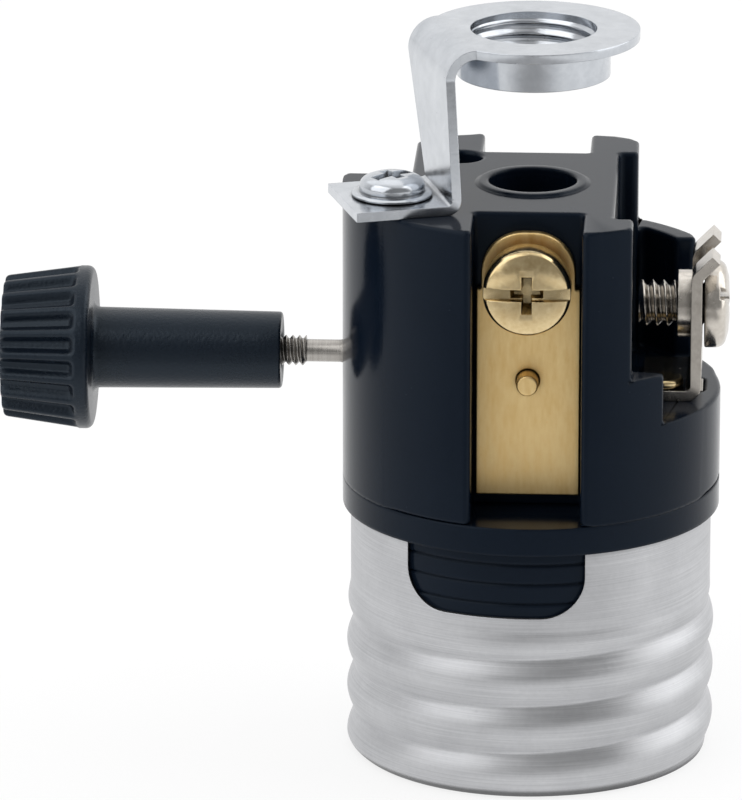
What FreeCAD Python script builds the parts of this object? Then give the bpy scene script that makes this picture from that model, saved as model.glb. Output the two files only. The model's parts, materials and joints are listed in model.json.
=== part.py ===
# Turn-knob lamp holder: screw shell, moulded body, terminals, bracket and rotary switch.
#
# Frame: the origin is on the shell's axis at its rim, +Z points up to the bracket's
# threaded ring, the line terminal faces -Y, the neutral terminal faces +X and the
# switch shaft leaves along -X. Lengths are in millimetres.
import FreeCAD
import Part
import Sketcher
import math
import os
from FreeCAD import Placement, Rotation, Vector

doc = FreeCAD.newDocument("lamp_holder")
sheet = doc.addObject("Spreadsheet::Sheet", "Sizes")

# Driving dimensions. Each one is set by itself; everything else follows from them.
DIMENSIONS = {
    # rolled screw shell, medium lamp thread
    "shell_length": 19.0,
    "shell_wall": 0.35,
    "thread_pitch": 3.629,
    "crest_height": 0.25,
    "first_crest": 2.0,
    "window_width": 13.3,
    "window_depth": 5.0,
    "window_corner": 3.0,
    "window_azimuth": 259.4,
    # insulating disc that closes the body and holds the shell
    "moulding_radius": 14.0,
    "crest_inset": 0.3,
    "lip_height": 2.1,
    "skirt_clearance": 0.05,
    "skirt_wall": 1.6,
    "skirt_depth": 5.8,
    "disc_floor": 4.5,
    # moulded upper body
    "body_height": 22.3,
    "channel_width": 8.0,
    "channel_depth": 5.9,
    "rear_channel_depth": 5.7,
    "post_side": 7.6,
    "tower_side": 6.2,
    "pocket_floor": 6.9,
    "pocket_front": 9.2,
    "wing_wall": 1.5,
    "wing_drop": 6.1,
    "wing_front": 6.8,
    "ledge_height": 3.8,
    "ledge_inset": 4.1,
    "ledge_rear": 4.6,
    "shoulder_reach": 9.0,
    "shoulder_front": 2.0,
    "rear_pocket_radius": 1.6,
    "rear_pocket_depth": 5.0,
    "tower_hole_radius": 3.25,
    "tower_hole_depth": 5.6,
    "edge_round": 0.4,
    # switch chamber inside the body
    "chamber_side_wall": 1.05,
    "chamber_end_wall": 3.4,
    "chamber_right": 4.6,
    "chamber_height": 14.3,
    # switch shaft and rotor
    "shaft_rise": 9.1,
    "shaft_radius": 1.18,
    "shaft_out": 11.5,
    "shaft_inner_end": 5.6,
    "running_gap": 0.05,
    "rotor_side_gap": 1.0,
    "rotor_end_gap": 2.4,
    "rotor_length": 5.6,
    "rotor_flat_depth": 0.7,
    "contact_leaf": 0.4,
    "collar_radius": 2.2,
    "collar_length": 1.2,
    "leaf_gap": 0.3,
    # knob
    "knob_gap": 4.5,
    "stem_length": 14.0,
    "stem_radius": 3.0,
    "flange_radius": 6.05,
    "flange_length": 1.3,
    "grip_length": 5.3,
    "grip_end_radius": 5.25,
    "rib_count": 20,
    "rib_groove_width": 0.6,
    "rib_groove_depth": 0.4,
    # bracket
    "sheet_metal": 0.7,
    "bracket_azimuth": 198.0,
    "foot_length": 7.5,
    "foot_width": 8.2,
    "foot_inset": 2.5,
    "foot_middle_side": 2.9,
    "leg_foot_width": 7.4,
    "leg_head_width": 10.4,
    "foot_bend": 0.7,
    "head_bend": 1.9,
    "ring_height": 11.75,
    "ring_radius": 7.8,
    "ring_bore": 4.65,
    "collar_wall": 1.0,
    "collar_drop": 2.7,
    # bracket screw
    "bracket_head_radius": 2.4,
    "bracket_head_height": 1.6,
    "bracket_flange_radius": 2.95,
    "bracket_flange_height": 0.35,
    "bracket_screw_radius": 1.6,
    "bracket_screw_length": 7.0,
    # line terminal
    "plate_metal": 0.8,
    "plate_clearance": 0.2,
    "plate_foot": 1.0,
    "plate_height": 20.0,
    "plate_head_width": 6.9,
    "plate_shoulder": 4.3,
    "line_screw_rise": 17.4,
    "line_head_radius": 3.2,
    "line_head_height": 2.8,
    "line_back_off": 1.2,
    "terminal_screw_radius": 1.75,
    "terminal_hole_radius": 1.82,
    "line_screw_length": 4.7,
    "pin_radius": 0.8,
    "pin_rise": 9.8,
    "pin_reach": 1.5,
    # neutral terminal
    "neutral_inset": 1.8,
    "neutral_half_width": 4.3,
    "neutral_foot_length": 3.9,
    "neutral_height": 9.4,
    "ear_length": 2.0,
    "ear_notch": 3.4,
    "neutral_screw_rise": 6.3,
    "neutral_head_radius": 3.25,
    "neutral_head_height": 1.85,
    "neutral_back_off": 0.15,
    "neutral_screw_length": 4.85,
    "neutral_collar_radius": 2.5,
    "neutral_collar_length": 1.0,
    "rivet_radius": 0.8,
    "rivet_head_radius": 1.4,
    "rivet_head_height": 0.7,
    "neutral_rivet_back": 2.3,
    "neutral_rivet_y": 2.8,
    "strap_metal": 0.5,
    "strap_width": 3.0,
    "strap_depth": 5.0,
    # recess in the screw heads
    "slot_width": 0.9,
    "slot_depth": 0.6,
    "cross_width": 0.9,
    "cross_span": 3.6,
    "cross_depth": 1.1,
    # assembly screws, rivets and contacts inside
    "assembly_inset_x": 7.8,
    "assembly_inset_y": 6.8,
    "assembly_radius": 0.9,
    "assembly_length": 12.0,
    "assembly_head_radius": 1.5,
    "assembly_head_height": 1.0,
    "hole_clearance": 0.05,
    "contact_inset": 6.6,
    "contact_drop": 2.6,
    "contact_width": 4.0,
    "contact_tip": 1.8,
}
for row, (name, value) in enumerate(DIMENSIONS.items(), start=1):
    sheet.set(f"A{row}", name)
    sheet.set(f"B{row}", str(value))
    sheet.setAlias(f"B{row}", name)
doc.recompute()


class Size:
    """A length that carries its number and the spreadsheet expression behind it."""

    def __init__(self, number, text):
        self.number = number
        self.text = text

    def joined(self, other, sign, number):
        return Size(number, f"({self.text} {sign} {as_size(other).text})")

    def __add__(self, other):
        return self.joined(other, "+", self.number + as_size(other).number)

    def __sub__(self, other):
        return self.joined(other, "-", self.number - as_size(other).number)

    def __mul__(self, other):
        return self.joined(other, "*", self.number * as_size(other).number)

    def __truediv__(self, other):
        return self.joined(other, "/", self.number / as_size(other).number)

    def __radd__(self, other):
        return as_size(other) + self

    def __rsub__(self, other):
        return as_size(other) - self

    def __rmul__(self, other):
        return as_size(other) * self

    def __neg__(self):
        return 0 - self


def as_size(value):
    """A Size for a plain number, or the Size itself."""
    return value if isinstance(value, Size) else Size(value, repr(value))


class Sheet:
    """Reads a spreadsheet alias as a Size, so that D.shell_wall is bound to its cell."""

    def __getattr__(self, name):
        return Size(float(getattr(sheet, name)), f"Sizes.{name}")


D = Sheet()
SLACK = 1.0  # how far a cutting tool runs past the face that it opens
POINT = 0.01  # how near two places are when they count as one

# Radii and distances from the axis that several pieces share.
R_CREST = D.moulding_radius - D.crest_inset
R_PLAIN = R_CREST - D.crest_height
FRONT_FACE = D.moulding_radius - D.channel_depth
REAR_FACE = D.moulding_radius - D.rear_channel_depth
ASSEMBLY_X = D.moulding_radius - D.assembly_inset_x
ASSEMBLY_Y = D.moulding_radius - D.assembly_inset_y
CHAMBER_LEFT = D.moulding_radius - D.chamber_end_wall
CHAMBER_HALF = ASSEMBLY_Y - D.assembly_radius - D.chamber_side_wall
ROTOR_LEFT = CHAMBER_LEFT - D.rotor_end_gap
ROTOR_RADIUS = CHAMBER_HALF - D.rotor_side_gap
ROTOR_FLAT = ROTOR_RADIUS - D.rotor_flat_depth
SHAFT_REACH = D.moulding_radius + D.shaft_out
CONTACT_ROOT = D.moulding_radius - D.contact_inset
NEUTRAL_X = D.moulding_radius - D.neutral_inset
NEUTRAL_RIVET_X = NEUTRAL_X - D.neutral_rivet_back
FOOT_MIDDLE = D.moulding_radius - D.foot_inset

# Heights that several pieces share.
Z_SHELL = D.shell_length
Z_PART = Z_SHELL + D.lip_height
Z_TOP = Z_PART + D.body_height
Z_SHAFT = Z_PART + D.shaft_rise
Z_POCKET = Z_PART + D.pocket_floor
Z_FLOOR = Z_PART - D.disc_floor
Z_CHAMBER = Z_PART + D.chamber_height
Z_LINE = Z_PART + D.line_screw_rise
Z_PIN = Z_PART + D.pin_rise
Z_NEUTRAL = Z_POCKET + D.neutral_screw_rise
Z_FOOT = Z_TOP + D.sheet_metal


def bind(obj, **sizes):
    """Bind properties of obj to sizes; a double underscore stands for a dot."""
    for name, size in sizes.items():
        obj.setExpression(name.replace("__", "."), as_size(size).text)


def put(obj, x=0, y=0, z=0):
    """Bind the place of obj."""
    bind(obj, Placement__Base__x=x, Placement__Base__y=y, Placement__Base__z=z)
    return obj


def block(name, x, y, z):
    """A box between two sizes along each axis."""
    obj = doc.addObject("Part::Box", name)
    bind(obj, Length=as_size(x[1]) - x[0], Width=as_size(y[1]) - y[0], Height=as_size(z[1]) - z[0])
    return put(obj, x[0], y[0], z[0])


def rod(name, radius, axis, start, length, centre=(0, 0)):
    """A cylinder along one axis; centre is its place on the two other axes, in order."""
    obj = doc.addObject("Part::Cylinder", name)
    bind(obj, Radius=radius, Height=length)
    turn = {
        "X": Rotation(Vector(0, 1, 0), 90),
        "Y": Rotation(Vector(1, 0, 0), -90),
        "Z": Rotation(),
    }[axis]
    obj.Placement = Placement(Vector(), turn)
    place = {
        "X": (start, centre[0], centre[1]),
        "Y": (centre[0], start, centre[1]),
        "Z": (centre[0], centre[1], start),
    }[axis]
    return put(obj, *place)


def fused(name, pieces):
    """Pieces joined into one solid."""
    obj = doc.addObject("Part::MultiFuse", name)
    obj.Shapes = pieces
    obj.Refine = True
    return obj


def cut(name, base, *tools):
    """Base with one or more tools cut away."""
    obj = doc.addObject("Part::Cut", name)
    obj.Base = base
    obj.Tool = tools[0] if len(tools) == 1 else fused(f"{name}_tools", list(tools))
    obj.Refine = True
    return obj


def common(name, first, second):
    """What two solids share."""
    obj = doc.addObject("Part::Common", name)
    obj.Base = first
    obj.Tool = second
    return obj


def rounded(name, base, radius, chosen):
    """Base with the edges that chosen(edge) picks rounded."""
    doc.recompute()
    obj = doc.addObject("Part::Fillet", name)
    obj.Base = base
    picked = [number for number, edge in enumerate(base.Shape.Edges, start=1) if chosen(edge)]
    if not picked:
        raise ValueError(f"{name}: no edge to round")
    obj.Edges = [(number, radius, radius) for number in picked]
    return obj


def computed(name, shape):
    """A shape worked out below from the sheet's values."""
    obj = doc.addObject("Part::Feature", name)
    obj.Shape = shape
    return obj


nodes = []


def node(obj, label):
    """Name a finished sub-part."""
    obj.Label = label
    nodes.append(obj)
    return obj


# ---------------------------------------------------------------- bodies with sketches
def plane_of(body, role):
    """One of a body's own origin planes or axes."""
    return next(item for item in body.Origin.OriginFeatures if item.Role == role)


def outline(body, name, plane, corners):
    """A closed sketch of straight lines, each corner bound to its two sizes."""
    sketch = body.newObject("Sketcher::SketchObject", name)
    sketch.AttachmentSupport = [(plane_of(body, plane), "")]
    sketch.MapMode = "FlatFace"
    places = [Vector(as_size(a).number, as_size(b).number, 0) for a, b in corners]
    for index, place in enumerate(places):
        sketch.addGeometry(Part.LineSegment(place, places[(index + 1) % len(places)]), False)
    for index in range(len(places)):
        following = (index + 1) % len(places)
        sketch.addConstraint(Sketcher.Constraint("Coincident", index, 2, following, 1))
    for index, (a, b) in enumerate(corners):
        for kind, size in (("DistanceX", as_size(a)), ("DistanceY", as_size(b))):
            number = sketch.addConstraint(
                Sketcher.Constraint(kind, -1, 1, index, 1, size.number)
            )
            sketch.setExpression(f"Constraints[{number}]", size.text)
    return sketch


def turned_body(name, corners):
    """A body of revolution about its own Z axis; corners are (radius, height)."""
    body = doc.addObject("PartDesign::Body", name)
    sketch = outline(body, f"{name}_profile", "XZ_Plane", corners)
    turned = body.newObject("PartDesign::Revolution", f"{name}_turned")
    turned.Profile = sketch
    turned.ReferenceAxis = (sketch, ["V_Axis"])
    turned.Angle = 360
    doc.recompute()
    return body


# ------------------------------------------------------------------- screw shell
CRESTS = 3  # rolled crests between the rim and the plain part


def shell_profile():
    """The wall's section: ridges outside and a plain bore that clears the lamp's thread."""
    corners = [(R_PLAIN, 0)]
    for crest in range(CRESTS):
        middle = D.first_crest + D.thread_pitch * crest
        corners += [(R_CREST, middle), (R_PLAIN, middle + D.thread_pitch / 2)]
    inner = R_PLAIN - D.shell_wall
    return corners + [(R_PLAIN, Z_SHELL), (inner, Z_SHELL), (inner, 0)]


def screw_shell():
    """Rolled aluminium shell with a rounded window at the front of its plain part."""
    blank = turned_body("shell_blank", shell_profile())
    reach = R_CREST + SLACK
    half = D.window_width / 2
    opening = block("window_opening", (0, reach), (-half, half),
                    (Z_SHELL - D.window_depth, Z_SHELL + SLACK))
    window = rounded(
        "window_tool", opening, D.window_corner.number,
        lambda edge: edge.BoundBox.ZMax < Z_SHELL.number and edge.BoundBox.XLength > SLACK,
    )
    shell = cut("screw_shell", blank, window)
    window.Placement = Placement(Vector(), Rotation(Vector(0, 0, 1), 0))
    bind(window, Placement__Rotation__Angle=D.window_azimuth)
    return node(shell, "screw_shell")


# ------------------------------------------------------------------- insulating disc
def base_disc():
    """Disc with a lip under the body and a skirt inside the shell."""
    skirt = R_PLAIN - D.shell_wall - D.skirt_clearance
    hollow = skirt - D.skirt_wall
    foot = Z_SHELL - D.skirt_depth
    blank = turned_body("disc_blank", [
        (0, Z_PART), (D.moulding_radius, Z_PART), (D.moulding_radius, Z_SHELL), (skirt, Z_SHELL),
        (skirt, foot), (hollow, foot), (hollow, Z_FLOOR), (0, Z_FLOOR),
    ])
    tools = assembly_holes("disc", Z_FLOOR - SLACK, Z_PART + SLACK)
    hole = D.rivet_radius + D.hole_clearance
    tools.append(rod("disc_contact_hole", hole, "Z", Z_FLOOR - SLACK, D.disc_floor + 2 * SLACK,
                     (-CONTACT_ROOT, 0)))
    tools.append(strap_slot("disc_strap_slot"))
    return node(cut("base_disc", blank, *tools), "base_disc")


def assembly_places():
    """The two screws that hold disc and body together, either side of the chamber."""
    return [(-ASSEMBLY_X, -ASSEMBLY_Y), (-ASSEMBLY_X, ASSEMBLY_Y)]


def assembly_holes(name, bottom, top):
    radius = D.assembly_radius + D.hole_clearance
    return [
        rod(f"{name}_assembly_hole_{number}", radius, "Z", bottom, top - bottom, place)
        for number, place in enumerate(assembly_places(), start=1)
    ]


def strap_slot(name):
    """Slot for the strip that joins the neutral terminal to the shell."""
    gap = D.hole_clearance
    half = D.strap_width / 2 + gap
    outer = NEUTRAL_X + D.strap_metal + gap
    return block(name, (NEUTRAL_X - gap, outer), (-half, half),
                 (Z_SHELL - D.skirt_depth - SLACK, Z_POCKET + SLACK))


# ------------------------------------------------------------------- moulded upper body
def body_blank():
    """Cylinder with its channels, cut-outs and dropped rear corners, before the bores."""
    radius = D.moulding_radius
    reach = radius + SLACK
    half = D.channel_width / 2
    top = Z_TOP + SLACK
    bottom = Z_PART - SLACK
    barrel = rod("barrel", radius, "Z", Z_PART, D.body_height)
    floor = Z_POCKET
    drop = Z_TOP - D.wing_drop
    hollow = block("pocket_space", (D.tower_side, reach),
                   (-D.pocket_front, reach), (floor, top))
    wing_core = rod("wing_core", radius - D.wing_wall, "Z", floor - SLACK, D.body_height + SLACK)
    wing_bar = block("wing_bar", (D.post_side - SLACK, reach), (D.wing_front, reach),
                     (floor - SLACK, drop))
    wing = cut("wing", wing_bar, wing_core)
    rear_post = block("rear_post", (D.tower_side - SLACK, D.post_side), (REAR_FACE, reach),
                      (floor - SLACK, top))
    pocket = cut("pocket", hollow, wing, rear_post)
    return cut(
        "body_blank", barrel,
        block("front_channel", (-half, half), (-reach, -FRONT_FACE), (bottom, top)),
        block("rear_channel", (-half, half), (REAR_FACE, reach), (bottom, top)),
        block("front_step", (D.post_side, reach), (-reach, -D.pocket_front + SLACK / 2),
              (floor + D.ledge_height, top)),
        block("front_step_end", (radius - D.ledge_inset, reach), (-reach, -D.ledge_rear), (floor, top)),
        pocket,
        block("rear_left_drop", (-reach, -D.shoulder_reach), (D.shoulder_front, reach), (drop, top)),
    )


def chamber_tools():
    """The switch chamber with the bores that open into it."""
    gap = D.hole_clearance
    shaft_hole = D.shaft_radius + D.running_gap
    inner_end = D.shaft_inner_end + gap
    return [
        block("chamber", (-CHAMBER_LEFT, D.chamber_right), (-CHAMBER_HALF, CHAMBER_HALF),
              (Z_PART - SLACK, Z_CHAMBER)),
        rod("shaft_bore", shaft_hole, "X", -D.moulding_radius - SLACK,
            D.moulding_radius + SLACK + inner_end, (0, Z_SHAFT)),
        rod("line_screw_bore", D.terminal_hole_radius, "Y", -FRONT_FACE - SLACK,
            SLACK + D.line_screw_length, (0, Z_LINE)),
        rod("pin_bore", D.pin_radius + gap, "Y", -FRONT_FACE - SLACK,
            FRONT_FACE - CHAMBER_HALF + 2 * SLACK, (0, Z_PIN)),
        rod("bracket_screw_bore", D.bracket_screw_radius + gap, "Z",
            Z_FOOT - D.bracket_screw_length - gap, D.bracket_screw_length, bracket_place()),
        rod("neutral_rivet_bore", D.rivet_radius + gap, "Z", Z_PART - SLACK, D.pocket_floor + 2 * SLACK,
            (NEUTRAL_RIVET_X, -D.neutral_rivet_y)),
        strap_slot("body_strap_slot"),
    ] + assembly_holes("body", Z_PART - SLACK, Z_FLOOR + D.assembly_length)


def tower_tools():
    """Blind hole in the middle of the top and the small round pocket behind it."""
    depth = Z_TOP - D.tower_hole_depth
    rear = REAR_FACE - D.rear_pocket_radius
    return [
        rod("tower_hole", D.tower_hole_radius, "Z", depth, D.tower_hole_depth + SLACK),
        rod("rear_pocket", D.rear_pocket_radius, "Z", Z_TOP - D.rear_pocket_depth,
            D.rear_pocket_depth + SLACK, (-D.channel_width / 2 - D.rear_pocket_radius, rear)),
    ]


def upper_body():
    """Phenolic body: posts, channels, terminal pocket, tower and switch chamber."""
    blank = body_blank()
    doc.recompute()
    soft = rounded("body_soft", blank, D.edge_round.number, body_edge)
    return node(cut("upper_body", soft, *chamber_tools(), *tower_tools()), "upper_body")


def body_edge(edge):
    """The long upright edges outside the channels' floors are rounded."""
    box = edge.BoundBox
    upright = box.ZLength > D.ledge_height.number and box.XLength + box.YLength < POINT
    out = math.hypot(D.channel_width.number / 2, REAR_FACE.number)
    return upright and math.hypot(box.XMin, box.YMin) > out + POINT


def bracket_place():
    """The bracket screw's place, set out along and across the bracket's own direction."""
    angle = math.radians(D.bracket_azimuth.number)
    along = Vector(math.cos(angle), math.sin(angle), 0)
    across = Vector(-math.sin(angle), math.cos(angle), 0)
    out = FOOT_MIDDLE
    side = D.foot_middle_side
    turn = "Sizes.bracket_azimuth"
    x = Size(out.number * along.x + side.number * across.x,
             f"({out.text} * cos({turn} * 1deg) - {side.text} * sin({turn} * 1deg))")
    y = Size(out.number * along.y + side.number * across.y,
             f"({out.text} * sin({turn} * 1deg) + {side.text} * cos({turn} * 1deg))")
    return x, y



# ------------------------------------------------------------------- bent sheet metal
def strip_side(path, bends, offset, side):
    """One side of a bent strip: the path moved sideways, with a tangent arc at each bend."""

    def upright(point):
        return Vector(point.x, side, point.y)

    edges = []
    start = None
    for index in range(len(path)):
        here = path[index]
        before = (here - path[index - 1]).normalize() if index else None
        after = (path[index + 1] - here).normalize() if index + 1 < len(path) else None
        if before is None or after is None:
            way = after or before
            point = here + Vector(-way.y, way.x, 0) * offset
            if start:
                edges.append(Part.LineSegment(upright(start), upright(point)).toShape())
            start = point
            continue
        turn = math.atan2(before.x * after.y - before.y * after.x, before.dot(after))
        middle_radius = bends[index - 1]
        back = middle_radius * math.tan(abs(turn) / 2)
        left = Vector(-before.y, before.x, 0)
        sense = math.copysign(1, turn)
        centre = here - before * back + left * middle_radius * sense
        radius = middle_radius - offset * sense
        first = here - before * back + left * offset
        bisector = (here - centre).normalize()
        second = here + after * back + Vector(-after.y, after.x, 0) * offset
        middle = centre + bisector * radius
        edges.append(Part.LineSegment(upright(start), upright(first)).toShape())
        edges.append(Part.Arc(upright(first), upright(middle), upright(second)).toShape())
        start = second
    return edges


def bent_strip(path, bends, thickness, width):
    """A strip bent along a path of (across, up) sizes; it lies in the XZ plane, width along Y."""
    points = [Vector(as_size(a).number, as_size(b).number, 0) for a, b in path]
    radii = [as_size(bend).number for bend in bends]
    half = thickness.number / 2
    side = width.number / 2
    one = strip_side(points, radii, half, side)
    other = strip_side(points, radii, -half, side)
    first_end = Part.LineSegment(other[0].firstVertex().Point, one[0].firstVertex().Point)
    last_end = Part.LineSegment(one[-1].lastVertex().Point, other[-1].lastVertex().Point)
    wire = Part.Wire([first_end.toShape()] + one + [last_end.toShape()] + other[::-1])
    return Part.Face(wire).extrude(Vector(0, -width.number, 0))


def tapered_mask(rows, depth):
    """A plate facing X whose width changes with height; rows are (height, low side, high side)."""
    left = [Vector(-depth, row[1].number, row[0].number) for row in rows]
    right = [Vector(-depth, row[2].number, row[0].number) for row in reversed(rows)]
    face = Part.Face(Part.makePolygon(left + right + left[:1]))
    return face.extrude(Vector(2 * depth, 0, 0))


# ------------------------------------------------------------------- bracket
def bracket():
    """Zinc-plated bracket: foot, upright leg and a ring with a drawn threaded collar."""
    metal = D.sheet_metal
    inner = FOOT_MIDDLE - D.foot_length / 2
    outer = inner + D.foot_length
    foot_middle = Z_TOP + metal / 2
    ring_middle = Z_TOP + D.ring_height - metal / 2
    path = [(outer, foot_middle), (inner, foot_middle), (inner, ring_middle), (as_size(0), ring_middle)]
    strip = bent_strip(path, [D.foot_bend, D.head_bend], metal, D.foot_width * 3)
    front = D.foot_middle_side + D.foot_width / 2
    rear = D.foot_middle_side - D.foot_width / 2
    leg_rear = front - D.leg_foot_width
    high = D.leg_head_width / 2
    lift = foot_middle + D.foot_bend
    bend_start = ring_middle - D.head_bend
    mask = tapered_mask(
        [
            (Z_TOP - SLACK, rear, front),
            (foot_middle + metal / 2, rear, front),
            (lift, leg_rear, front),
            (bend_start, -high, high),
            (ring_middle + SLACK, -high, high),
        ],
        D.moulding_radius.number * 2,
    )
    top = (Z_TOP + D.ring_height).number
    bottom = top - metal.number
    flat_end = (inner - D.head_bend).number
    wide = 2 * D.ring_radius.number
    ring = Part.makeCylinder(D.ring_radius.number, metal.number, Vector(0, 0, bottom))
    flat = Part.makeBox(wide, wide, metal.number, Vector(flat_end - wide, -wide / 2, bottom))
    bend = Part.makeBox(wide, wide, top, Vector(flat_end - D.head_bend.number, -wide / 2, 0))
    drop = D.collar_drop.number
    bore = D.ring_bore.number
    collar = Part.makeCylinder(bore + D.collar_wall.number, drop + metal.number, Vector(0, 0, bottom - drop))
    blank = strip.common(mask).common(bend).fuse([ring.common(flat), collar])
    hole = Part.makeCylinder(bore, drop + metal.number + 2 * SLACK, Vector(0, 0, bottom - drop - SLACK))
    blank = blank.cut(hole).removeSplitter()
    solid = computed("bracket_blank", blank)
    solid.Placement = Placement(Vector(), Rotation(Vector(0, 0, 1), D.bracket_azimuth.number))
    hole = D.bracket_screw_radius + D.hole_clearance
    tool = rod("bracket_hole", hole, "Z", Z_TOP - SLACK, 3 * SLACK, bracket_place())
    return node(cut("bracket", solid, tool), "bracket")


# ------------------------------------------------------------------- screws and rivets
def headed(name, head_radius, head_height, shank_radius, shank_length, flange=()):
    """A screw or rivet about Z: its head rises from zero and its shank goes down."""
    return turned_body(f"{name}_turned", [
        (0, head_height), (head_radius, head_height), *flange, (shank_radius, 0),
        (shank_radius, -shank_length), (0, -shank_length),
    ])


def recessed(name, blank, head_radius, head_height):
    """A head with a straight slot and a tapered cross in it."""
    wide = D.slot_width / 2
    reach = head_radius + SLACK
    top = head_height + SLACK
    slot = block(f"{name}_slot", (-reach, reach), (-wide, wide), (head_height - D.slot_depth, top))
    arms = []
    for number, angle in enumerate((0, 90)):
        low = D.cross_width / 4
        arm = doc.addObject("Part::Wedge", f"{name}_cross_{number + 1}")
        span = D.cross_span / 2
        bind(arm, Xmin=-span, Xmax=span, Zmin=-2 * low, Zmax=2 * low, Ymin=0, Ymax=D.cross_depth,
             X2min=-span / 3, X2max=span / 3, Z2min=-low, Z2max=low)
        arm.Placement = Placement(Vector(), Rotation(angle, 0, -90))
        arms.append(put(arm, 0, 0, head_height))
    return cut(f"{name}_recessed", blank, slot, *arms)


def placed(obj, label, turn, x, y, z):
    """Turn a finished piece from its own axis to its place and name it."""
    obj.Placement = Placement(Vector(), turn)
    put(obj, x, y, z)
    return node(obj, label)


UP = Rotation()
TO_FRONT = Rotation(Vector(1, 0, 0), 90)
TO_RIGHT = Rotation(Vector(0, 1, 0), 90)
TO_LEFT = Rotation(Vector(0, 1, 0), -90)
DOWN = Rotation(Vector(1, 0, 0), 180)


def terminal_screws():
    """The bracket's pan-head screw and the two binding screws."""
    x, y = bracket_place()
    flange = [(D.bracket_head_radius, D.bracket_flange_height),
              (D.bracket_flange_radius, D.bracket_flange_height), (D.bracket_flange_radius, 0)]
    blank = headed("bracket_screw", D.bracket_head_radius, D.bracket_head_height,
                   D.bracket_screw_radius, D.bracket_screw_length, flange)
    cut_head = recessed("bracket_screw", blank, D.bracket_head_radius, D.bracket_head_height)
    placed(cut_head, "bracket_screw", Rotation(30, 0, 0), x, y, Z_FOOT)

    blank = headed("line_screw", D.line_head_radius, D.line_head_height,
                   D.terminal_screw_radius, D.line_screw_length, [(D.line_head_radius, 0)])
    cut_head = recessed("line_screw", blank, D.line_head_radius, D.line_head_height)
    face = -FRONT_FACE - D.plate_metal - D.line_back_off
    placed(cut_head, "line_terminal_screw", TO_FRONT, 0, face, Z_LINE)

    blank = headed("neutral_screw", D.neutral_head_radius, D.neutral_head_height,
                   D.terminal_screw_radius, D.neutral_screw_length, [(D.neutral_head_radius, 0)])
    cut_head = recessed("neutral_screw", blank, D.neutral_head_radius, D.neutral_head_height)
    face = NEUTRAL_X + D.plate_metal / 2 + D.neutral_back_off
    turn = TO_RIGHT * Rotation(60, 0, 0)
    placed(cut_head, "neutral_terminal_screw", turn, face, 0, Z_NEUTRAL)


# ------------------------------------------------------------------- line terminal
ARCH = 0.9  # radius of the line plate's rounded end, as a share of its half width


def line_terminal_plate():
    """Brass plate in the front channel: straight sides, stepped in to a round end."""
    width = D.channel_width - 2 * D.plate_clearance
    half = width / 2
    back = -FRONT_FACE
    face = back - D.plate_metal
    foot = Z_PART + D.plate_foot
    shoulder = foot + D.plate_height - D.plate_shoulder
    head = D.plate_head_width / 2
    lower = block("line_plate_lower", (-half, half), (face, back), (foot, shoulder))
    upper = block("line_plate_upper", (-head, head), (face, back), (shoulder, foot + D.plate_height))
    blank = rounded("line_plate_round", upper, head.number * ARCH,
                    lambda edge: edge.BoundBox.ZMin > shoulder.number + POINT
                    and edge.BoundBox.YLength > POINT)
    hole = rod("line_plate_hole", D.terminal_hole_radius, "Y", face - SLACK, 3 * SLACK, (0, Z_LINE))
    pin_hole = rod("line_plate_pin_hole", D.pin_radius + D.hole_clearance / 2, "Y", face - SLACK,
                   3 * SLACK, (0, Z_PIN))
    plate = fused("line_plate_blank", [lower, blank])
    node(cut("line_terminal_plate", plate, hole, pin_hole), "line_terminal_plate")


def line_pin():
    """Pin that carries the line plate through the body to the feed contact."""
    inner = CHAMBER_HALF - D.contact_leaf
    front = FRONT_FACE + D.plate_metal + D.pin_reach
    pin = rod("line_terminal_pin", D.pin_radius, "Y", -front, front - inner, (0, Z_PIN))
    node(pin, "line_terminal_pin")


# ------------------------------------------------------------------- neutral terminal
def neutral_terminal_plate():
    """Nickel-plated plate on the shoulder: riveted foot, tapped collar and two bent ears."""
    metal = D.plate_metal
    foot = Z_POCKET + metal / 2
    x = NEUTRAL_X
    top = Z_POCKET + D.neutral_height
    width = D.neutral_half_width * 2
    ear = D.ear_length * math.cos(math.radians(45))
    path = [(x - D.neutral_foot_length, foot), (x, foot), (x, top), (x + ear, top + ear)]
    strip = computed("neutral_strip", bent_strip(path, [metal, metal], metal, width))
    notch = D.ear_notch / 2
    gap = block("ear_gap", (x - SLACK, x + D.ear_length + SLACK), (-notch, notch),
                (top - metal, top + 3 * SLACK))
    back = x - metal / 2
    collar = rod("neutral_collar", D.neutral_collar_radius, "X", back - D.neutral_collar_length,
                 D.neutral_collar_length + metal / 2, (0, Z_NEUTRAL))
    hole = rod("neutral_hole", D.terminal_hole_radius, "X", back - D.neutral_collar_length - SLACK,
               D.neutral_collar_length + metal + 2 * SLACK, (0, Z_NEUTRAL))
    rivet = rod("neutral_foot_hole", D.rivet_radius + D.hole_clearance / 2, "Z", Z_POCKET - SLACK,
                3 * SLACK, (NEUTRAL_RIVET_X, -D.neutral_rivet_y))
    plate = fused("neutral_blank", [cut("neutral_notched", strip, gap), collar])
    node(cut("neutral_terminal_plate", plate, hole, rivet), "neutral_terminal_plate")


def neutral_rivet():
    """Brass rivet that holds the neutral plate's foot to the body."""
    blank = headed("neutral_rivet", D.rivet_head_radius, D.rivet_head_height, D.rivet_radius,
                   D.pocket_floor + D.plate_metal, [(D.rivet_head_radius, 0)])
    placed(blank, "neutral_terminal_rivet", UP, NEUTRAL_RIVET_X, -D.neutral_rivet_y,
           Z_POCKET + D.plate_metal)


def neutral_strap():
    """Strip that joins the neutral plate's foot to the inside of the screw shell."""
    half = D.strap_width / 2
    x = NEUTRAL_X
    node(block("neutral_strap", (x, x + D.strap_metal), (-half, half),
               (Z_SHELL - D.strap_depth, Z_POCKET)), "neutral_strap")


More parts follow.
